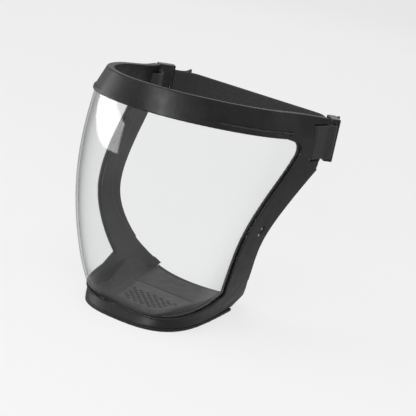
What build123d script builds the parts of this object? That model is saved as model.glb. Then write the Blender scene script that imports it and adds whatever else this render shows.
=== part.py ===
from build123d import *
from math import atan2, cos, degrees, radians, sin
import os

# Full-face work shield: a soft moulded frame round a clear curved visor, a chin tray with a
# breathing filter, and a webbing head strap with two sliders.
# Millimetres. +X is the wearer's left, -Y is forwards, +Z is up. The origin is on the flat
# underside of the chin, on the symmetry plane, and Z = 0 is the surface that it stands on.

# ---------------------------------------------------------------- driving dimensions
REAR_Y = 95.0               # the body's construction surface is closed this far back
REAR_SPARE = 15.0           # inner surfaces run this much further, to cut right through
FAR = 120.0                 # reach of cutting blocks, well outside the shield
CHIN_TOP = 9.0              # height where the chin wall turns into the leaning visor line

# outer surface: height, front Y, half width, Y of the widest point, fullness, half width at REAR_Y
CHIN_LEVELS = [
    (-6.0, -49.5, 44.5, 12.0, 2.8, 38.5),
    (CHIN_TOP, -41.3, 48.0, 12.0, 2.8, 41.5),
]
BODY_LEVELS = [
    (CHIN_TOP, -41.3, 48.0, 12.0, 2.8, 41.5),
    (45.0, -60.5, 60.3, 9.0, 2.5, 61.5),
    (75.0, -70.5, 68.0, 9.0, 2.3, 72.0),
    (105.0, -78.3, 73.4, 18.0, 2.2, 79.0),
    (135.0, -82.3, 76.8, 31.0, 2.1, 84.0),
    (165.0, -80.2, 77.5, 42.0, 2.05, 87.0),
    (192.0, -75.0, 77.5, 45.0, 2.0, 87.5),
]

WALL = 5.0                  # frame wall round the visor
THIN_WALL = 2.6             # arms behind their inner fold
VISOR_OUT = 1.7             # visor's outer face below the frame's outer face
VISOR_T = 1.7
GROOVE_GAP = 0.2            # clearance round the visor inside its groove
FLANGE = 5.0                # how far the visor reaches into the frame

# window outline in side view, from the chin rim to the headband
RIM_FRONT = (-40.0, 9.2)    # Y, Z of the chin rim's front
RIM_SLOPE = 0.175
RIM_TURN = 7.0              # Y where the rim turns up to the window's lower corner
WINDOW_EDGE = [
    (22.5, 24.0), (10.5, 50.0), (6.3, 77.0), (25.3, 115.0), (44.4, 139.0),
    (46.8, 145.0), (44.4, 149.7), (37.0, 153.0), (28.0, 156.0),
]
REAR_EDGE = [(77.0, 9.0), (62.5, 22.0), (45.5, 41.0), (34.5, 70.0), (46.5, 96.0), (76.0, 128.0)]
LIP_OUT = [0.0, 0.2, 2.2, 2.6, 2.8, 3.0]    # how far the seal stands behind each of those points
FOLD_EDGE = [(68.0, 14.0), (48.0, 33.0), (29.0, 55.0), (21.0, 77.0), (35.0, 106.0), (58.0, 137.0)]

# headband: outer bottom edge and inner top edge lie in two nearly parallel tilted planes
BAND_Z = 159.4              # bottom plane's height at Y = 0
BAND_SLOPE = -0.126         # its rise per millimetre of Y
BAND_H = 19.0
BAND_FRONT = -80.9
BAND_HALF = 77.9
BAND_TOP_FRONT = -75.2
BAND_TOP_HALF = 71.4
BAND_WIDE_Y = 44.5
BAND_T_LOW = 7.45
BAND_T_TOP = 5.35
BAND_FULL = (2.05, 1.95)    # fullness of its outline, bottom and top
LUG_END_Y = 78.5            # rear end of the lugs
LUG_REAR_HALF = 87.2        # half width that the headband's lines reach at REAR_Y
LUG_FOOT = [(76.0, 133.5), (LUG_END_Y, 134.5)]     # lug's lower corners, Y and Z

# strap and its slots
SLOT_X = 55.0               # the slots are cut outwards from here
WEB_W = 27.0
WEB_T = 1.5
WEB_Z = 136.4               # webbing's lower edge
SLOT_Y = (61.5, 66.0)
SLOT_Z = (135.6, 164.4)
RECESS = [(78.1, 66.0), (82.9, 90.0)]   # floor line of the lug's outer recess, in plan
CHORD_Y = 109.0             # the back of the strap

# slider
SLIDE_DIR = Vector(-0.69, 0.724, 0)
SLIDER_LEN = 15.0
SLIDER_H = 34.0
SLIDER_Z = 133.5
SLIDER_GAP = 0.35

# chin
COVER_T = 2.4
COVER_GAP = 0.2
COVER_REAR = 57.0
COVER_OUTLINE = (0.0, -43.8, 46.6, 12.0, 2.8, 42.1)     # as an outer-surface level
FRAME_FOOT = COVER_T + COVER_GAP
FOOT_REAR = 60.0            # rear end of the frame's flat underside
OVERLAP = 3.0               # how far joined or cutting blocks run into each other
FLOOR_Z = 7.5               # tray floor's upper face
FLOOR_T = 1.6
TRAY_FLOOR = (-27.0, 21.0, 43.0, 3.0)   # front Y, half width there and at TRAY_REAR, bow
TRAY_BRIM = (-46.0, 48.0, 62.0, 19.0)
BRIM_Z = 34.0
TRAY_REAR = 80.0
TRAY_END = (72.0, 11.5)     # rear top corner in side view
TRAY_TURN = 30.0            # Y where its top edge leaves the chin rim's line
TRAY_GAP = 0.02             # between the tray and the frame's inner wall
THROAT_Y = 61.0             # back edge of the tray at the middle
THROAT_R = 77.0             # its radius in plan
PAD_FRONT = (-16.5, 17.5)   # grille's front edge: Y, half width
PAD_REAR = (26.0, 27.0)
GRILLE_T = 1.2
GRILLE_GAP = 0.15
HOLE_MARGIN = 1.2           # solid plate left outside the holes
HOLE_START = 3.4            # first row behind the grille's front edge
HOLE_R = 1.85
HOLE_PITCH = 6.4
HOLE_ROWS = 8
GRILLE_FLARE = (PAD_REAR[1] - PAD_FRONT[1]) / (PAD_REAR[0] - PAD_FRONT[0])
LEDGE_TOP = 5.6
LEDGE_INSET = 2.0
WELL_HALF = 31.0
WELL_Y = (-19.0, 31.0)
FILTER_T = 2.6
FILTER_GAP = 0.6
FILTER_LIFT = 0.3           # above the cover
SLOT_COUNT = 9
VENT_PITCH = 4.6
VENT_START = 6.0            # first slot behind the well's front
VENT_X = 12.5
VENT_SIZE = (15.0, 2.2)
PEGS = [(-37.0, 0.0), (37.0, 0.0), (-36.0, 46.0), (36.0, 46.0)]
PEG_R = 2.0
PEG_H = 3.0
PEG_GAP = 0.2
LIP_DEPTH = 3.0
LIP_H = 3.0
LIP_ROUND = 1.1
LIP_PROUD = 0.6             # throat lip's top above the tray floor
SEAL_T = 2.2
SEAL_IN = 0.3               # seal's outer face below the arm's outer face
SEAL_Z = (31.0, 127.5)
RIVETS = [(23.6, 79.0), (26.6, 83.5)]
RIVET_R = 1.15
RIVET_ROOT = 1.0            # how deep a rivet goes into the recess's floor
RIVET_PROUD = 0.6
POCKET_R = 2.6
POCKET_DEPTH = 1.0
POCKET_CUT = 6.0            # reach of the recess's cutter outwards
RIVET_X = 70.0              # arm's outer face at the rivets
SLIDER_AT = (78.3, 92.2)
LAYER_STEP = 2.6            # between the two layers' middles in the slider
SLIDER_SKIN = 1.4
SLIDER_SIDE_R = 1.4
SLIDER_END_R = 0.8
SLIDER_WINDOW = 2.6         # width of each of its two windows
SLIDER_WINDOW_X = 3.0
SLIDER_LEAD = 2.6           # straight webbing in front of the slider
TAIL_BEND = 17.3            # where the free tail turns away from the slider's line
TAIL_END = (70.5, 120.5)
LUG_SHORT = 11.5            # where the outer run leaves the recess floor, before its rear end
LUG_GAP = 0.2
LUG_LEAD = 2.3              # the outer run's bend in front of the recess
LUG_LIFT = 0.4
WEB_BENDS = [12, 1.5, 3, 4, 1.5, 1.5, 8, 4, 8]      # bend radii along the route
INNER_REAR = (73.0, 81.0)
INNER_FRONT = (69.1, 68.5)
THROUGH_SLOT = (72.1, 63.7)


# ---------------------------------------------------------------- construction helpers
def section(level, inset=0.0, rear_y=REAR_Y):
    """A closed horizontal outline: one smooth U round the front, one line across the back."""
    z, front, half, wide_y, fullness, rear_half = level
    half -= inset
    depth = wide_y - (front + inset)
    rear_half -= inset
    right = []
    for turn in (0, 12, 26, 42, 58, 74, 90):
        across = sin(radians(turn)) ** (2 / fullness)
        along = max(cos(radians(turn)), 0) ** (2 / fullness)
        right.append((half * across, wide_y - depth * along, z))
    slope = (rear_half - half) / (REAR_Y - wide_y)
    for share in (0.4, 1.0):
        y = wide_y + share * (rear_y - wide_y)
        right.append((half + slope * (y - wide_y) * (0.75 + 0.25 * share), y, z))
    left = [(-x, y, z) for x, y, z in reversed(right[1:])]
    curve = Spline(*(left + right))
    return Wire([curve, Line(curve @ 1, curve @ 0)])


def body_form(inset=0.0):
    """The whole outer form, pulled in by inset."""
    rear_y = REAR_Y + (REAR_SPARE if inset else 0)
    upper = Solid.make_loft([section(level, inset, rear_y) for level in BODY_LEVELS])
    lower = Solid.make_loft([section(level, inset, rear_y) for level in CHIN_LEVELS], True)
    return upper + lower


def side_cut(edges):
    """A side-view outline, given as edges in the YZ plane, made into a block right across X."""
    outline = Wire([edge for piece in edges for edge in piece.edges()])
    return extrude(Face(outline), FAR, dir=(1, 0, 0), both=True)


def yz(points):
    return [(0, y, z) for y, z in points]


def shell(outer, inner):
    return body_form(outer) - body_form(inner)


def mirrored(shape):
    return mirror(shape, about=Plane.YZ)


def box(low, high):
    """An axis-aligned block from its lowest to its highest corner."""
    size = [b - a for a, b in zip(low, high)]
    return Pos(*low) * Box(*size, align=(Align.MIN, Align.MIN, Align.MIN))


def save(shape, name):
    export_step(shape, f"parts/{name}.step")


def rim_z(y, drop):
    """Height of the chin rim, seen from the side."""
    return RIM_FRONT[1] + RIM_SLOPE * (y - RIM_FRONT[0]) - drop


def band_z(y, lift):
    """Height of the headband's bottom plane, seen from the side."""
    return BAND_Z + BAND_SLOPE * y + lift


def window_block(grow=0.0):
    """The visor opening as a block across X, grown by grow into the frame all round."""
    edge = [(y + grow, z) for y, z in WINDOW_EDGE]
    corner = (edge[0][0], edge[0][1] - grow)
    last = (edge[-1][0], band_z(edge[-1][0], grow))
    front = -FAR
    return side_cut([
        Polyline(*yz([(front, rim_z(front, grow)), (RIM_TURN + grow, rim_z(RIM_TURN, grow)), corner])),
        Spline(*yz([corner] + edge[1:-1] + [last])),
        Polyline(*yz([last, (front, band_z(front, grow)), (front, rim_z(front, grow))])),
    ])


def tilted(point_z):
    """A plane parallel to the headband's edges, point_z above its bottom plane at Y = 0."""
    return Plane(origin=(0, 0, BAND_Z + point_z), x_dir=(1, 0, 0), z_dir=(0, -BAND_SLOPE, 1))


def band_section(height, inset):
    """The headband's outline at a height between its edges, pulled in by inset."""
    share = height / BAND_H
    front = BAND_FRONT + share * (BAND_TOP_FRONT - BAND_FRONT)
    half = BAND_HALF + share * (BAND_TOP_HALF - BAND_HALF)
    fullness = BAND_FULL[0] + share * (BAND_FULL[1] - BAND_FULL[0])
    level = (0, front, half, BAND_WIDE_Y, fullness, LUG_REAR_HALF)
    flat = section(level, inset, REAR_Y + (REAR_SPARE if inset else 0))
    return tilted(height).location * flat


def band_form(low, high, low_inset, high_inset):
    return Solid.make_loft([band_section(low, low_inset), band_section(high, high_inset)], True)


# ---------------------------------------------------------------- frame
def make_frame():
    """Headband, side arms and chin wall, moulded in one piece."""
    walls = shell(0.0, WALL)
    top = (LUG_END_Y, band_z(LUG_END_Y, OVERLAP))
    outline = side_cut([
        Polyline(*yz([(-FAR, FRAME_FOOT), (FOOT_REAR, FRAME_FOOT), REAR_EDGE[0]])),
        Spline(*yz(REAR_EDGE)),
        Polyline(*yz([REAR_EDGE[-1], *LUG_FOOT, top, (-FAR, band_z(-FAR, OVERLAP)), (-FAR, FRAME_FOOT)])),
    ])
    pocket = side_cut([
        Spline(*yz(FOLD_EDGE)),
        Polyline(*yz([FOLD_EDGE[-1], (FAR, FOLD_EDGE[-1][1]), (FAR, FOLD_EDGE[0][1]), FOLD_EDGE[0]])),
    ])
    walls = (walls & outline) - window_block()
    walls = walls - (shell(THIN_WALL, WALL + OVERLAP) & pocket)

    outer = band_form(0, BAND_H, 0, 0)
    inner = band_form(-OVERLAP, BAND_H + OVERLAP, BAND_T_LOW, BAND_T_TOP)
    band = (outer - inner) & box((-FAR, -FAR, 0), (FAR, LUG_END_Y, 2 * FAR))
    frame = walls + band

    # ring that the chin cover snaps against
    ledge = body_form(LEDGE_INSET) & box((-FAR, -FAR, FRAME_FOOT), (FAR, FOOT_REAR, LEDGE_TOP))
    frame = frame + (ledge - filter_well(LEDGE_TOP + 1) - make_pegs(PEG_GAP))

    # groove for the visor, then the strap slots with their outer recesses
    groove = shell(VISOR_OUT - GROOVE_GAP, VISOR_OUT + VISOR_T + GROOVE_GAP)
    frame = frame - (groove & window_block(FLANGE + GROOVE_GAP))
    slot = box((SLOT_X, SLOT_Y[0], SLOT_Z[0]), (FAR, SLOT_Y[1], SLOT_Z[1]))
    (x0, y0), (x1, y1) = RECESS
    corners = [(x0, y0), (FAR, y0), (FAR, y1), (x1, y1), (x0, y0)]
    floor = Face(Polyline(*[(x, y, SLOT_Z[0]) for x, y in corners]))
    recess = extrude(floor, SLOT_Z[1] - SLOT_Z[0], dir=(0, 0, 1))
    below = extrude(floor, SLOT_Z[0], dir=(0, 0, -1)) & box((0, LUG_FOOT[0][0], 0), (FAR, FAR, SLOT_Z[0]))
    for cut in (slot, recess, below):
        frame = frame - cut - mirrored(cut)
    for side in (-1, 1):
        frame = frame - rivet_pocket(side)
    return frame


def filter_well(top):
    """The opening under the tray that holds the filter."""
    return box((-WELL_HALF, WELL_Y[0], -1), (WELL_HALF, WELL_Y[1], top))


def rivet_pocket(side):
    """Shallow oval recess in an arm's outer face, round both rivets."""
    (y0, z0), (y1, z1) = RIVETS
    along = Vector(0, y1 - y0, z1 - z0)
    middle = (side * (RIVET_X - POCKET_DEPTH), (y0 + y1) / 2, (z0 + z1) / 2)
    floor = Plane(origin=middle, x_dir=along, z_dir=(side, 0, 0))
    return extrude(floor * SlotCenterToCenter(along.length, 2 * POCKET_R), POCKET_CUT)


def make_rivets():
    """Two small blind rivets in each arm's recess."""
    solids = []
    for y, z in RIVETS:
        for side in (-1, 1):
            foot = Plane(origin=(side * (RIVET_X - POCKET_DEPTH - RIVET_ROOT), y, z), z_dir=(side, 0, 0))
            solids.append(extrude(foot * Circle(RIVET_R), RIVET_ROOT + RIVET_PROUD))
    return Compound(solids)


# ---------------------------------------------------------------- visor
def make_visor():
    """One clear moulded sheet, curved both ways, held in the frame's groove."""
    sheet = shell(VISOR_OUT, VISOR_OUT + VISOR_T)
    return sheet & window_block(FLANGE)


# ---------------------------------------------------------------- face seals
def make_face_seal():
    """Soft lip moulded on to an arm's rear edge, thinning out towards the chin (wearer's left)."""
    sheet = shell(SEAL_IN, SEAL_IN + SEAL_T)
    lip = [(y + out, z) for (y, z), out in zip(REAR_EDGE, LIP_OUT)]
    strip = side_cut(arm_side(lip)) - side_cut(arm_side(REAR_EDGE))
    return sheet & strip & box((0, -FAR, SEAL_Z[0]), (FAR, FAR, SEAL_Z[1]))


def arm_side(edge):
    """Side-view outline of everything in front of a rear edge."""
    first, last = edge[0], edge[-1]
    return [Spline(*yz(edge)), Polyline(*yz([last, (-FAR, last[1]), (-FAR, first[1]), first]))]


# ---------------------------------------------------------------- chin
def tray_wire(z, level, grow):
    """Four-sided outline: bowed front, two sides, straight back, grown by grow."""
    front, half_front, half_rear, bow = level
    front -= grow
    half_front += grow
    half_rear += grow
    left = Line((-half_rear, TRAY_REAR, z), (-half_front, front, z))
    nose = ThreePointArc((-half_front, front, z), (0, front - bow, z), (half_front, front, z))
    right = Line((half_front, front, z), (half_rear, TRAY_REAR, z))
    return Wire([left, nose, right, Line((half_rear, TRAY_REAR, z), (-half_rear, TRAY_REAR, z))])


def make_tray():
    """Dished inner floor of the chin: flat floor, sloping sides, open throat at the back."""
    def dish(grow, low):
        return Solid.make_loft([tray_wire(low, TRAY_FLOOR, grow), tray_wire(BRIM_Z, TRAY_BRIM, grow)], True)

    tray = dish(FLOOR_T, FLOOR_Z - FLOOR_T) - dish(0, FLOOR_Z)
    under_rim = side_cut([Polyline(*yz([
        (-FAR, 0), (TRAY_END[0], 0), TRAY_END,
        (TRAY_TURN, rim_z(TRAY_TURN, 3)), (-FAR, rim_z(-FAR, 2)), (-FAR, 0),
    ]))])
    tray = tray & under_rim & body_form(WALL + TRAY_GAP)
    tray = tray - throat(THROAT_R, -1, 2 * BRIM_Z)
    return tray - grille_block(GRILLE_GAP, FLOOR_Z - FLOOR_T - 1, FLOOR_Z + 1)


def throat(radius, low, high):
    """The round opening behind the tray, as an upright disc."""
    middle = THROAT_Y + THROAT_R
    return Pos(0, middle, (low + high) / 2) * Cylinder(radius, high - low)


def grille_block(grow, low, high):
    """The breathing grille's trapezoid outline as a block."""
    (y0, half0), (y1, half1) = PAD_FRONT, PAD_REAR
    corners = [(-half0 - grow, y0 - grow), (half0 + grow, y0 - grow),
               (half1 + grow, y1 + grow), (-half1 - grow, y1 + grow)]
    points = [(x, y, low) for x, y in corners]
    face = Face(Polyline(*points, points[0]))
    return extrude(face, high - low, dir=(0, 0, 1))


def make_grille():
    """Perforated plate in the tray floor: staggered round holes in its front part."""
    plate = grille_block(0, FLOOR_Z - FLOOR_T, FLOOR_Z - FLOOR_T + GRILLE_T)
    holes = []
    for row in range(HOLE_ROWS):
        y = PAD_FRONT[0] + HOLE_START + row * HOLE_PITCH / 2
        half = PAD_FRONT[1] + (y - PAD_FRONT[0]) * GRILLE_FLARE - HOLE_R - HOLE_MARGIN
        start = 0 if row % 2 else HOLE_PITCH / 2
        steps = int((half - start) // HOLE_PITCH)
        for step in range(-steps - (row % 2 == 0), steps + 1):
            holes.append(Pos(start + step * HOLE_PITCH, y, FLOOR_Z) * Cylinder(HOLE_R, FLOOR_Z))
    return plate - holes


def make_filter():
    """Non-woven filter pad between the grille and the cover."""
    low = COVER_T + FILTER_LIFT
    half = WELL_HALF - FILTER_GAP
    return box((-half, WELL_Y[0] + FILTER_GAP, low), (half, WELL_Y[1] - FILTER_GAP, low + FILTER_T))


def make_cover():
    """Snap-off plate under the chin, with two banks of slots and four snap pegs."""
    plate = extrude(Face(section(COVER_OUTLINE)), COVER_T, dir=(0, 0, 1))
    plate = plate & box((-FAR, -FAR, -1), (FAR, COVER_REAR, COVER_T + 1))
    for side in (-1, 1):
        for number in range(SLOT_COUNT):
            y = WELL_Y[0] + VENT_START + number * VENT_PITCH
            plate = plate - Pos(side * VENT_X, y, 0) * Box(*VENT_SIZE, 4 * COVER_T)
    return plate


def make_pegs(grow=0.0):
    """Snap pegs on the cover's corners, in the frame's ledge."""
    peg = Cylinder(PEG_R + grow, PEG_H + grow, align=(Align.CENTER, Align.CENTER, Align.MIN))
    return [Pos(x, y, COVER_T) * peg for x, y in PEGS]


def make_throat_lip():
    """Soft rounded bead along the tray's open back edge."""
    top = FLOOR_Z + LIP_PROUD
    ring = throat(THROAT_R, top - LIP_H, top) - throat(THROAT_R - LIP_DEPTH, top - LIP_H, top)
    ring = fillet(ring.edges().filter_by(GeomType.CIRCLE), LIP_ROUND)
    return ring & body_form(WALL + TRAY_GAP)


# ---------------------------------------------------------------- strap and sliders
def strap_route():
    """Plan route of one side, from the middle of the back to the free tail, with its bend radii."""
    start, end = (Vector(x, y, 0) for x, y in RECESS)
    along = (end - start).normalized()
    outward = Vector(along.Y, -along.X, 0)
    floor = outward * (WEB_T / 2 + LUG_GAP)
    side = Vector(-SLIDE_DIR.Y, SLIDE_DIR.X, 0)         # from the tail towards the band
    outer_at = Vector(*SLIDER_AT, 0) - side * LAYER_STEP / 2
    inner_at = Vector(*SLIDER_AT, 0) + side * LAYER_STEP / 2
    reach = SLIDER_LEN / 2
    points = [
        Vector(0, CHORD_Y),
        inner_at + SLIDE_DIR * ((CHORD_Y - inner_at.Y) / SLIDE_DIR.Y),
        inner_at - SLIDE_DIR * (reach + SLIDER_LEAD),
        Vector(*INNER_REAR),
        Vector(*INNER_FRONT),
        Vector(*THROUGH_SLOT),
        start + floor - along * LUG_LEAD + outward * LUG_LIFT,
        end + floor - along * LUG_SHORT,
        outer_at - SLIDE_DIR * (reach + SLIDER_LEAD),
        outer_at + SLIDE_DIR * TAIL_BEND,
        Vector(*TAIL_END),
    ]
    return [(p.X, p.Y) for p in points], WEB_BENDS


def ribbon(points, radii, low, height, thickness):
    """Upright webbing along a plan route: both faces are the route moved sideways."""
    spots = [Vector(x, y, 0) for x, y in points]
    runs = [(b - a).normalized() for a, b in zip(spots, spots[1:])]
    half = thickness / 2
    faces = []
    for side in (1, -1):
        moved = []
        bends = []
        for index, spot in enumerate(spots):
            before = runs[max(index - 1, 0)]
            after = runs[min(index, len(runs) - 1)]
            mitre = (before + after).normalized()
            normal = Vector(-mitre.Y, mitre.X, 0)
            moved.append(spot + normal * (side * half / mitre.dot(before)))
            if 0 < index < len(spots) - 1:
                turn = 1 if before.cross(after).Z > 0 else -1
                bends.append(radii[index - 1] - side * turn * half)
        faces.append(FilletPolyline(*moved, radius=bends))
    left, right = faces
    outline = Wire(left.edges() + right.edges() + [Line(left @ 0, right @ 0), Line(left @ 1, right @ 1)])
    return Pos(0, 0, low) * extrude(Face(outline), height, dir=(0, 0, 1))


def make_strap():
    """One length of webbing: round the back, through both lugs and back to a free tail each side."""
    points, radii = strap_route()
    half = ribbon(points, radii, WEB_Z, WEB_W, WEB_T)
    return half + mirrored(half)


def make_slider():
    """Moulded loop round both layers of webbing, with a two-window face (wearer's left)."""
    outer_t = 2 * SLIDER_SKIN + LAYER_STEP + WEB_T + 2 * SLIDER_GAP
    body = Box(SLIDER_LEN, outer_t, SLIDER_H)
    body = fillet(body.edges().filter_by(Axis.Z), SLIDER_SIDE_R)
    ends = body.faces().sort_by(Axis.Z)
    body = fillet(ends[0].edges() + ends[-1].edges(), SLIDER_END_R)
    channel = Box(SLIDER_LEN + 2, outer_t - 2 * SLIDER_SKIN, WEB_W + 2 * SLIDER_GAP)
    body = body - Pos(0, 0, WEB_Z + WEB_W / 2 - SLIDER_Z - SLIDER_H / 2) * channel
    for side in (-1, 1):
        body = body - Pos(side * SLIDER_WINDOW_X, 0, 0) * Box(SLIDER_WINDOW, outer_t + 2, WEB_W - 4)
    turn = degrees(atan2(SLIDE_DIR.Y, SLIDE_DIR.X))
    return Pos(*SLIDER_AT, SLIDER_Z + SLIDER_H / 2) * Rot(0, 0, turn) * body


def main():
    os.makedirs("parts", exist_ok=True)
    save(make_frame(), "frame")
    save(make_visor(), "visor")
    seal = make_face_seal()
    save(seal, "face_seal_left")
    save(mirrored(seal), "face_seal_right")
    save(make_tray(), "chin_tray")
    save(make_grille(), "breathing_grille")
    save(make_filter(), "filter_pad")
    save(make_cover(), "chin_cover")
    save(Compound(make_pegs()), "cover_pegs")
    save(make_throat_lip(), "throat_lip")
    save(make_rivets(), "arm_rivets")
    save(make_strap(), "head_strap")
    slider = make_slider()
    save(slider, "slider_left")
    save(mirrored(slider), "slider_right")


main()
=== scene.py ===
import math

import bmesh
import bpy
from mathutils import Matrix, Vector


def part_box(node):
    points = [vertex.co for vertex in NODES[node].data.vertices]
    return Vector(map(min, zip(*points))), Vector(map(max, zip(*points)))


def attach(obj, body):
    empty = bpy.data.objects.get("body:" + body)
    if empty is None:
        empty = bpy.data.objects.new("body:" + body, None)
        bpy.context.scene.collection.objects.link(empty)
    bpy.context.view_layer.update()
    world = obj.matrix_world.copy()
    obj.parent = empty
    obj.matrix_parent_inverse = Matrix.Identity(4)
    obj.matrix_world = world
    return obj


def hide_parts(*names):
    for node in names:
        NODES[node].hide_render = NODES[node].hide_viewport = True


# Looks, floor, light and camera for the face shield. Metres, in the CAD frame: +X is the
# wearer's left, -Y is forwards, +Z is up, and the shield stands on its chin at Z = 0.

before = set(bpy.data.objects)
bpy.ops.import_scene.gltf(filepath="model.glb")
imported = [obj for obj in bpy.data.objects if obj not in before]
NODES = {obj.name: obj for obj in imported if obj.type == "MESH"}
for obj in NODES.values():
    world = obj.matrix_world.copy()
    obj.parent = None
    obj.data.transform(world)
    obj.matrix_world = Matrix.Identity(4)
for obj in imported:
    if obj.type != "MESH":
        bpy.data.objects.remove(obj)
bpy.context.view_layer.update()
MM = 0.001

# ---------------------------------------------------------------- named sizes
FRAME_VOXEL = 0.5 * MM      # mesh size of the moulded pieces before smoothing
SOFT_VOXEL = 0.45 * MM
MAX_FACES = 160_000         # triangles kept in a moulded piece
FELT_VOXEL = 0.7 * MM

# webbing: plan route of the wearer's left half, from the middle of the back through the lug's
# slot and the slider to the free tail, with the radius of each bend
WEB_ROUTE = [
    (0.0, 109.0), (60.5, 109.0), (84.3, 84.0), (73.0, 81.0), (69.1, 68.5), (72.1, 63.7),
    (79.0, 63.5), (81.6, 78.5), (86.2, 85.8), (67.3, 105.6), (70.5, 120.5),
]
WEB_BENDS = [12, 1.5, 3, 4, 1.5, 1.5, 8, 4, 8]
WEB_STEP = 0.34 * MM        # samples along the webbing
WEB_RIB = 1.36 * MM         # pitch of the woven cross ribs
WEB_RIB_DEPTH = 0.07 * MM
WEB_ROWS = 18               # samples across one face
WEB_T = 1.5 * MM
WEB_YARN = 1.25 * MM        # width of one yarn across the weave
WEB_EDGE_POWER = 26         # how squarely a face meets the woven edges
WEB_BEAD = (0.10, 0.93, 0.03)   # selvedge bead: extra thickness, place across, width
WEB_CROWD = 0.45            # how far the samples across a face crowd towards its edges

# filter pad: how flat it is pressed at its rim and in the middle, and its uneven surface
FELT_RIM = 0.82
FELT_CROWN = 0.16
FELT_RIM_SHARE = 6.0        # the crown is reached 1/6 of the way in
FELT_WAVE = 0.05 * MM
FELT_WAVES = (900, 760, 310)

# camera: direction the object is seen from, its roll, its distance and its aim
VIEW_TURN = math.radians(27.7)
VIEW_RISE = math.radians(16.25)
VIEW_ROLL = math.radians(11.84)
VIEW_DISTANCE = 1.1
VIEW_AIM = Vector((0.02152, 0.02593, 0.08459))
VIEW_LENS = 124.01
SENSOR = 36.0

FLOOR_RADIUS = 9.0
FLOOR_SHADES = ((0.20, 0.20, 0.20), (0.21, 0.21, 0.21))
FLOOR_GLOW = 0.70
WORLD_LIGHT = 0.4

# lights: name, turn from -Y to +X, rise, distance, width and height, radiance
LIGHTS = [
    ("front", 21, 24, 1.5, (0.8, 0.4), 13.0),
    ("top", 0, 82, 2.2, (2.2, 2.2), 1.0),
    ("upper_left", -50, 42, 1.4, (0.8, 0.4), 3.0),
    ("back", 205, 22, 1.8, (1.6, 0.5), 0.9),
]
GLARE = ("left_card", -64, 0, 0.55, (0.72, 0.2), 5.0)     # seen mirrored in the visor
GLARE_TARGET = (0, 0, 0.105)
GLARE_ROLL = -12
LIGHT_TARGET = (0, 0, 0.1)

# shared shades and depths
# pale colour of the dust specks, also used for the painted highlight along convex edges
DUST_AND_EDGE_HIGHLIGHT_COLOUR = (0.11, 0.11, 0.112, 1)
DUST_SHARE = 0.12
VISOR_CLEAR = (0.99, 0.992, 0.993, 1)
VISOR_HAZE = (0.8, 0.8, 0.8, 1)
VISOR_MIRROR = 0.036        # reflection straight on
VISOR_MIRROR_RISE = 0.9     # added towards grazing view


# ---------------------------------------------------------------- node helpers
def new_material(name):
    """An empty node material and its tree."""
    material = bpy.data.materials.new(name)
    material.use_nodes = True
    material.node_tree.nodes.clear()
    return material, material.node_tree


def node(tree, kind, inputs=None, **settings):
    """Adds a shader node. Inputs are values, or sockets to link from."""
    made = tree.nodes.new(kind)
    for key, value in settings.items():
        setattr(made, key, value)
    for key, value in (inputs or {}).items():
        if isinstance(value, bpy.types.NodeSocket):
            tree.links.new(value, made.inputs[key])
        else:
            made.inputs[key].default_value = value
    return made


def place(tree, scale=(1, 1, 1)):
    """Object coordinates in metres, scaled."""
    coordinates = node(tree, "ShaderNodeTexCoord")
    inputs = {"Vector": coordinates.outputs["Object"], "Scale": scale}
    return node(tree, "ShaderNodeMapping", inputs).outputs["Vector"]


def noise(tree, where, scale, detail=3.0, roughness=0.5):
    """Noise value, 0 to 1."""
    inputs = {"Vector": where, "Scale": scale, "Detail": detail, "Roughness": roughness}
    return node(tree, "ShaderNodeTexNoise", inputs).outputs["Fac"]


def spread(tree, value, low, high, start=0.3, end=0.7):
    """Maps a value from start..end to low..high."""
    inputs = {"Value": value, "From Min": start, "From Max": end, "To Min": low, "To Max": high}
    return node(tree, "ShaderNodeMapRange", inputs).outputs["Result"]


def math_node(tree, operation, first, second=0.0):
    """One arithmetic step."""
    return node(tree, "ShaderNodeMath", {0: first, 1: second}, operation=operation).outputs[0]


def tint(tree, factor, dark, light):
    """Colour between two shades."""
    ramp = node(tree, "ShaderNodeMix", {0: factor}, data_type="RGBA")
    ramp.inputs[6].default_value = (*dark, 1)
    ramp.inputs[7].default_value = (*light, 1)
    return ramp.outputs[2]


def bump(tree, height, depth, normal=None):
    """Bump of a height field, with its depth in metres."""
    inputs = {"Height": height, "Distance": depth, "Strength": 1.0}
    if normal is not None:
        inputs["Normal"] = normal
    return node(tree, "ShaderNodeBump", inputs).outputs["Normal"]


def output(tree, shader):
    """Links a shader to the material's surface."""
    node(tree, "ShaderNodeOutputMaterial", {"Surface": shader})


# ---------------------------------------------------------------- materials
def moulded(name, dark, light, rough, grain, depth, edge_wear_and_highlight_amount, specular):
    """Moulded black rubber or plastic: fine grain, soft unevenness, dust, and paler edges that are partly
    wear and partly a painted highlight.
    """
    material, tree = new_material(name)
    where = place(tree)
    mottle = noise(tree, where, 55, 4)
    colour = tint(tree, spread(tree, mottle, 0, 1), dark, light)
    edges = node(tree, "ShaderNodeNewGeometry").outputs["Pointiness"]
    # painted highlight: convex edges found by pointiness are mixed towards the pale dust colour, partly
    # edge wear and partly a painted highlight line along the edges
    edge_wear_and_highlight = spread(tree, edges, 0, edge_wear_and_highlight_amount, 0.52, 0.62)
    specks = spread(tree, noise(tree, where, 420, 2), 0, 1, 0.62, 0.8)
    dust = math_node(tree, "MULTIPLY", specks, DUST_SHARE)
    lift = math_node(tree, "ADD", edge_wear_and_highlight, dust)
    paler = node(tree, "ShaderNodeMix", {0: lift, 6: colour, 7: DUST_AND_EDGE_HIGHLIGHT_COLOUR}, data_type="RGBA")
    gloss = spread(tree, noise(tree, where, 130, 3), rough[0], rough[1])
    fine = bump(tree, noise(tree, where, grain, 2), depth)
    wavy = bump(tree, noise(tree, where, 70, 2), depth * 4, fine)
    shader = node(tree, "ShaderNodeBsdfPrincipled", {
        "Base Color": paler.outputs[2],
        "Roughness": gloss,
        "Specular IOR Level": specular,
        "Normal": wavy,
    })
    output(tree, shader.outputs[0])
    return material


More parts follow.
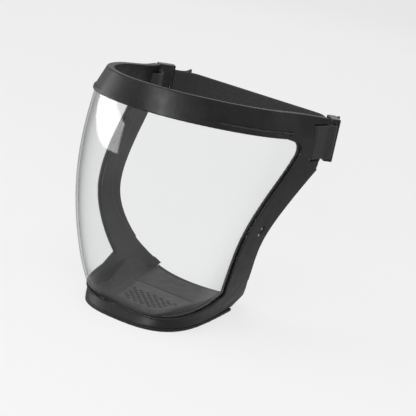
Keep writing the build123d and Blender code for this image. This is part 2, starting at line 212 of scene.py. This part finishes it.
def clear_plastic():
    """Clear polished polycarbonate: straight-through view, thin reflections, faint scratches."""
    material, tree = new_material("clear_polycarbonate")
    where = place(tree)
    facing = node(tree, "ShaderNodeLayerWeight", {"Blend": 0.5}).outputs["Facing"]
    rise = math_node(tree, "POWER", facing, 5.0)
    scaled = math_node(tree, "MULTIPLY", rise, VISOR_MIRROR_RISE)
    mirror = math_node(tree, "ADD", scaled, VISOR_MIRROR)
    long_way = place(tree, (260, 260, 22))
    hairs = spread(tree, noise(tree, long_way, 6, 3, 0.6), 0, 1, 0.66, 0.78)
    smear = noise(tree, where, 24, 3)
    rough = spread(tree, smear, 0.015, 0.05)
    dull = math_node(tree, "ADD", rough, math_node(tree, "MULTIPLY", hairs, 0.12))
    ripple = bump(tree, noise(tree, where, 30, 1), 0.05 * MM)
    clear = node(tree, "ShaderNodeBsdfTransparent", {"Color": VISOR_CLEAR})
    shine = node(tree, "ShaderNodeBsdfGlossy", {"Roughness": dull, "Normal": ripple})
    haze = node(tree, "ShaderNodeBsdfDiffuse", {"Color": VISOR_HAZE})
    veil = spread(tree, smear, 0.004, 0.016)
    dusty = node(tree, "ShaderNodeMixShader", {0: veil, 1: clear.outputs[0], 2: haze.outputs[0]})
    mixed = node(tree, "ShaderNodeMixShader", {0: mirror, 1: dusty.outputs[0], 2: shine.outputs[0]})
    output(tree, mixed.outputs[0])
    return material


def webbing_fabric():
    """Black polyester webbing: cross ribs with yarns over and under, seen from the UV map."""
    material, tree = new_material("woven_webbing")
    where = node(tree, "ShaderNodeTexCoord").outputs["UV"]
    split = node(tree, "ShaderNodeSeparateXYZ", {"Vector": where})
    along = math_node(tree, "MULTIPLY", split.outputs["X"], math.tau / WEB_RIB)
    across = math_node(tree, "MULTIPLY", split.outputs["Y"], math.tau / WEB_YARN)
    yarn = math_node(tree, "SINE", across)
    offset = math_node(tree, "MULTIPLY", yarn, 0.9)
    chevron = math_node(tree, "SINE", math_node(tree, "ADD", along, offset))
    weave = math_node(tree, "MULTIPLY", math_node(tree, "ADD", chevron, 1.0), 0.5)
    fuzz = noise(tree, place(tree), 1800, 3)
    height = math_node(tree, "ADD", weave, math_node(tree, "MULTIPLY", fuzz, 0.5))
    # painted shade and highlight: the colour follows the weave's bump height, darker in its hollows and
    # lighter on its crests, with random fibre fuzz mixed in
    colour = tint(tree, spread(tree, height, 0, 1, 0.2, 1.1), (0.005, 0.005, 0.0055), (0.022, 0.022, 0.023))
    shader = node(tree, "ShaderNodeBsdfPrincipled", {
        "Base Color": colour,
        "Roughness": spread(tree, fuzz, 0.7, 0.92),
        "Sheen Weight": 0.12,
        "Sheen Roughness": 0.45,
        "Normal": bump(tree, height, 0.14 * MM),
    })
    output(tree, shader.outputs[0])
    return material


def felt():
    """Dark non-woven filter felt: matted fibres."""
    material, tree = new_material("filter_felt")
    where = place(tree)
    fibres = noise(tree, place(tree, (1, 4, 2)), 700, 5, 0.7)
    clumps = noise(tree, where, 160, 3)
    colour = tint(tree, spread(tree, fibres, 0, 1), (0.006, 0.006, 0.0062), (0.022, 0.022, 0.023))
    height = math_node(tree, "ADD", fibres, clumps)
    shader = node(tree, "ShaderNodeBsdfPrincipled", {
        "Base Color": colour,
        "Roughness": spread(tree, clumps, 0.85, 1.0),
        "Sheen Weight": 0.06,
        "Normal": bump(tree, height, 0.3 * MM),
    })
    output(tree, shader.outputs[0])
    return material


def metal():
    """Brushed aluminium rivet heads, a little worn."""
    material, tree = new_material("rivet_aluminium")
    where = place(tree)
    lines = noise(tree, place(tree, (1, 1, 12)), 900, 3)
    colour = tint(tree, spread(tree, lines, 0, 1), (0.42, 0.42, 0.43), (0.72, 0.72, 0.73))
    shader = node(tree, "ShaderNodeBsdfPrincipled", {
        "Base Color": colour,
        "Metallic": 1.0,
        "Roughness": spread(tree, noise(tree, where, 600, 2), 0.22, 0.4),
        "Normal": bump(tree, lines, 0.02 * MM),
    })
    output(tree, shader.outputs[0])
    return material


# ---------------------------------------------------------------- mesh helpers
def add_piece(name, mesh, material, body):
    """Links a new piece, gives it its material and lets it ride on its CAD body."""
    piece = bpy.data.objects.new(name, mesh)
    bpy.context.scene.collection.objects.link(piece)
    piece.data.materials.clear()
    piece.data.materials.append(material)
    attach(piece, body)
    return piece


def baked(piece):
    """The mesh with its modifiers applied, and the modifiers taken off."""
    bpy.context.view_layer.update()
    graph = bpy.context.evaluated_depsgraph_get()
    mesh = bpy.data.meshes.new_from_object(piece.evaluated_get(graph))
    piece.modifiers.clear()
    return mesh


def rounded(node_name, voxel, rounds):
    """Mesh of a CAD node with its edges rounded, as they leave the mould."""
    mesh = NODES[node_name].data.copy()
    work = bmesh.new()
    work.from_mesh(mesh)
    bmesh.ops.remove_doubles(work, verts=work.verts, dist=1e-6)
    work.to_mesh(mesh)
    work.free()
    helper = bpy.data.objects.new("helper", mesh)
    bpy.context.scene.collection.objects.link(helper)
    remesh = helper.modifiers.new("remesh", "REMESH")
    remesh.mode = "VOXEL"
    remesh.voxel_size = voxel
    remesh.use_smooth_shade = True
    smooth = helper.modifiers.new("smooth", "SMOOTH")
    smooth.factor = 0.5
    smooth.iterations = rounds
    made = baked(helper)
    if 2 * len(made.polygons) > MAX_FACES:
        helper.data = made
        fewer = helper.modifiers.new("fewer", "DECIMATE")
        fewer.ratio = MAX_FACES / (2 * len(made.polygons))
        made = baked(helper)
    bpy.data.objects.remove(helper)
    return made


def moulded_piece(node_name, name, voxel, rounds, material, body):
    """Stands for a CAD node as a finer piece with rounded edges."""
    piece = add_piece(name, rounded(node_name, voxel, rounds), material, body)
    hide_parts(node_name)
    return piece


def finish_node(node_name, material):
    """Gives a CAD node that is shown as it is its material."""
    slots = NODES[node_name].data.materials
    slots.clear()
    slots.append(material)


# ---------------------------------------------------------------- webbing
def bend_points(points, radii):
    """Straight runs and arcs of a plan route as points with their sideways direction."""
    spots = [Vector(p) * MM for p in points]
    line = [spots[0]]
    for before, corner, after, radius in zip(spots, spots[1:], spots[2:], radii):
        come = (corner - before).normalized()
        leave = (after - corner).normalized()
        angle = come.angle(leave, 0)
        if angle < 1e-3:
            continue
        reach = radius * MM * math.tan(angle / 2)
        turn = 1 if come.cross(leave) > 0 else -1
        centre = corner - come * reach + Vector((-come.y, come.x)) * radius * MM * turn
        count = max(3, math.ceil(radius * MM * angle / WEB_STEP))
        arm = corner - come * reach - centre
        for k in range(count + 1):
            step = angle * k / count * turn
            line.append(centre + Matrix.Rotation(step, 2) @ arm)
    line.append(spots[-1])
    return line


def even_points(line, step):
    """The same line with its points an even step apart, and its length."""
    marks = [0.0]
    for a, b in zip(line, line[1:]):
        marks.append(marks[-1] + (b - a).length)
    total = marks[-1]
    count = round(total / step)
    found = []
    k = 0
    for i in range(count + 1):
        wanted = total * i / count
        while k < len(line) - 2 and marks[k + 1] < wanted:
            k += 1
        share = (wanted - marks[k]) / max(marks[k + 1] - marks[k], 1e-9)
        found.append(line[k].lerp(line[k + 1], min(share, 1)))
    return found, total


def web_profile(low, high):
    """Heights up one face with the half thickness there: woven edges are a little rounder."""
    middle = (low + high) / 2
    half = (high - low) / 2
    extra, at, width = WEB_BEAD
    rows = []
    for k in range(WEB_ROWS + 1):
        share = -math.cos(math.pi * k / WEB_ROWS)
        spot = WEB_CROWD * share + (1 - WEB_CROWD) * (2 * k / WEB_ROWS - 1)
        edge = max(0.0, 1 - abs(spot) ** WEB_EDGE_POWER) ** 0.5
        bead = 1 + extra * math.exp(-((abs(spot) - at) / width) ** 2)
        rows.append((middle + spot * half, WEB_T / 2 * edge * bead))
    return rows


def make_webbing(material):
    """One length of ribbed webbing from the right tail round the back to the left tail."""
    low, high = (corner.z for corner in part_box("head_strap"))
    half = bend_points(WEB_ROUTE, WEB_BENDS)
    mirrored = [Vector((-p.x, p.y)) for p in reversed(half)]
    line, length = even_points(mirrored[:-1] + half, WEB_STEP)
    rows = web_profile(low, high)
    mesh = bpy.data.meshes.new("webbing")
    work = bmesh.new()
    uv = work.loops.layers.uv.new("UVMap")
    rings = []
    for index, spot in enumerate(line):
        back = line[max(index - 1, 0)]
        ahead = line[min(index + 1, len(line) - 1)]
        run = (ahead - back).normalized()
        side = Vector((-run.y, run.x))
        travelled = length * index / (len(line) - 1)
        rib = 1 + WEB_RIB_DEPTH / WEB_T * 2 * math.cos(math.tau * travelled / WEB_RIB)
        ring = []
        for face in (1, -1):
            levels = rows if face == 1 else rows[-2:0:-1]
            for height, thick in levels:
                spread_out = side * thick * rib * face
                ring.append(work.verts.new((spot.x + spread_out.x, spot.y + spread_out.y, height)))
        rings.append((ring, travelled))
    for (first, start), (second, end) in zip(rings, rings[1:]):
        for k in range(len(first)):
            j = (k + 1) % len(first)
            face = work.faces.new((first[k], second[k], second[j], first[j]))
            face.smooth = True
            for loop in face.loops:
                travelled = start if loop.vert in (first[k], first[j]) else end
                loop[uv].uv = (travelled, loop.vert.co.z)
    work.faces.new(rings[0][0])
    work.faces.new(list(reversed(rings[-1][0])))
    bmesh.ops.recalc_face_normals(work, faces=work.faces)
    work.to_mesh(mesh)
    work.free()
    piece = add_piece("head_webbing", mesh, material, "shield")
    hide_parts("head_strap")
    return piece


# ---------------------------------------------------------------- filter pad
def make_filter(material):
    """The felt pad, a little crowned and fuzzy."""
    mesh = rounded("filter_pad", FELT_VOXEL, 3)
    low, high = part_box("filter_pad")
    middle = (low + high) / 2
    half = (high - low) / 2
    across, along, skew = FELT_WAVES
    for vertex in mesh.vertices:
        spot = vertex.co
        inward = min(1.0, (1 - abs(spot.x - middle.x) / half.x) * FELT_RIM_SHARE)
        inward *= min(1.0, (1 - abs(spot.y - middle.y) / half.y) * FELT_RIM_SHARE)
        wave = math.sin(spot.x * across) * math.sin(spot.y * along + spot.x * skew)
        height = FELT_RIM + FELT_CROWN * max(inward, 0)
        spot.z = middle.z + (spot.z - middle.z) * height + FELT_WAVE * wave
    piece = add_piece("filter_felt_pad", mesh, material, "cover")
    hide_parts("filter_pad")
    return piece


# ---------------------------------------------------------------- stage
def make_floor():
    """A plain pale floor, wide enough to fill the view, with a little light of its own."""
    mesh = bpy.data.meshes.new("floor")
    work = bmesh.new()
    bmesh.ops.create_circle(work, cap_ends=True, segments=64, radius=FLOOR_RADIUS)
    work.to_mesh(mesh)
    work.free()
    floor = bpy.data.objects.new("floor", mesh)
    bpy.context.scene.collection.objects.link(floor)
    floor.visible_glossy = False
    material, tree = new_material("pale_floor")
    grain = noise(tree, place(tree), 3, 2)
    colour = tint(tree, grain, *FLOOR_SHADES)
    matt = node(tree, "ShaderNodeBsdfDiffuse", {"Color": colour})
    glow = node(tree, "ShaderNodeEmission", {"Color": (1, 1, 1, 1), "Strength": FLOOR_GLOW})
    both = node(tree, "ShaderNodeAddShader", {0: matt.outputs[0], 1: glow.outputs[0]})
    output(tree, both.outputs[0])
    floor.data.materials.append(material)


def make_world():
    """Even pale surroundings."""
    world = bpy.data.worlds.new("studio")
    bpy.context.scene.world = world
    world.use_nodes = True
    background = world.node_tree.nodes["Background"]
    background.inputs["Color"].default_value = (1, 1, 1, 1)
    background.inputs["Strength"].default_value = WORLD_LIGHT


def add_light(name, turn, rise, distance, size, radiance, target=LIGHT_TARGET, roll=0):
    """A soft rectangular light, placed by its direction from the shield, facing it."""
    turn = math.radians(turn)
    rise = math.radians(rise)
    away = Vector((math.sin(turn) * math.cos(rise), -math.cos(turn) * math.cos(rise), math.sin(rise)))
    light = bpy.data.lights.new(name, "AREA")
    light.shape = "RECTANGLE"
    light.size = size[0]
    light.size_y = size[1]
    light.energy = radiance * math.pi * size[0] * size[1]
    lamp = bpy.data.objects.new(name, light)
    lamp.location = Vector(target) + away * distance
    facing = away.to_track_quat("Z", "Y").to_matrix() @ Matrix.Rotation(math.radians(roll), 3, "Z")
    lamp.rotation_euler = facing.to_euler()
    lamp.visible_camera = False
    bpy.context.scene.collection.objects.link(lamp)
    return lamp


def make_camera():
    """The camera, at the angle that the shield is photographed from."""
    out = Vector((
        math.sin(VIEW_TURN) * math.cos(VIEW_RISE),
        -math.cos(VIEW_TURN) * math.cos(VIEW_RISE),
        math.sin(VIEW_RISE),
    ))
    right = Vector((math.cos(VIEW_TURN), math.sin(VIEW_TURN), 0))
    up = out.cross(right)
    rolled_right = right * math.cos(VIEW_ROLL) + up * math.sin(VIEW_ROLL)
    rolled_up = up * math.cos(VIEW_ROLL) - right * math.sin(VIEW_ROLL)
    data = bpy.data.cameras.new("camera")
    data.lens = VIEW_LENS
    data.sensor_width = SENSOR
    camera = bpy.data.objects.new("camera", data)
    turn = Matrix((rolled_right, rolled_up, out)).transposed().to_4x4()
    camera.matrix_world = Matrix.Translation(VIEW_AIM + out * VIEW_DISTANCE) @ turn
    bpy.context.scene.collection.objects.link(camera)
    bpy.context.scene.camera = camera


# ---------------------------------------------------------------- build
rubber = moulded(
    "frame_rubber", dark=(0.009, 0.009, 0.0095), light=(0.015, 0.015, 0.0155),
    rough=(0.36, 0.46), grain=2400, depth=0.008 * MM, edge_wear_and_highlight_amount=0.12, specular=0.24,
)
tray = moulded(
    "tray_rubber", dark=(0.005, 0.005, 0.0053), light=(0.008, 0.008, 0.0084),
    rough=(0.40, 0.52), grain=2200, depth=0.01 * MM, edge_wear_and_highlight_amount=0.15, specular=0.2,
)
seal = moulded(
    "seal_rubber", dark=(0.020, 0.020, 0.021), light=(0.030, 0.030, 0.031),
    rough=(0.5, 0.62), grain=2600, depth=0.01 * MM, edge_wear_and_highlight_amount=0.15, specular=0.35,
)
hard = moulded(
    "cover_plastic", dark=(0.010, 0.010, 0.0105), light=(0.015, 0.015, 0.0155),
    rough=(0.42, 0.55), grain=1500, depth=0.012 * MM, edge_wear_and_highlight_amount=0.12, specular=0.3,
)
perforated = moulded(
    "grille_plastic", dark=(0.020, 0.020, 0.0205), light=(0.028, 0.028, 0.0285),
    rough=(0.45, 0.6), grain=1800, depth=0.01 * MM, edge_wear_and_highlight_amount=0.1, specular=0.3,
)
buckle = moulded(
    "slider_plastic", dark=(0.010, 0.010, 0.0105), light=(0.014, 0.014, 0.0145),
    rough=(0.26, 0.36), grain=1600, depth=0.005 * MM, edge_wear_and_highlight_amount=0.2, specular=0.4,
)

moulded_piece("frame", "moulded_frame", FRAME_VOXEL, 5, rubber, "shield")
moulded_piece("chin_tray", "moulded_tray", SOFT_VOXEL, 4, tray, "shield")
moulded_piece("chin_cover", "moulded_cover", SOFT_VOXEL, 2, hard, "cover")
moulded_piece("throat_lip", "throat_lip_rubber", SOFT_VOXEL, 5, seal, "shield")
for side in ("left", "right"):
    moulded_piece(
        f"face_seal_{side}", f"face_seal_rubber_{side}", SOFT_VOXEL, 5, seal, "shield",
    )
make_filter(felt())
make_webbing(webbing_fabric())
finish_node("visor", clear_plastic())
finish_node("breathing_grille", perforated)
finish_node("cover_pegs", hard)
finish_node("arm_rivets", metal())
finish_node("slider_left", buckle)
finish_node("slider_right", buckle)

make_floor()
make_world()
make_camera()
for light_values in LIGHTS:
    add_light(*light_values)
glare = add_light(*GLARE, GLARE_TARGET, GLARE_ROLL)
glare.visible_diffuse = False
bpy.context.scene.view_settings.view_transform = "Standard"
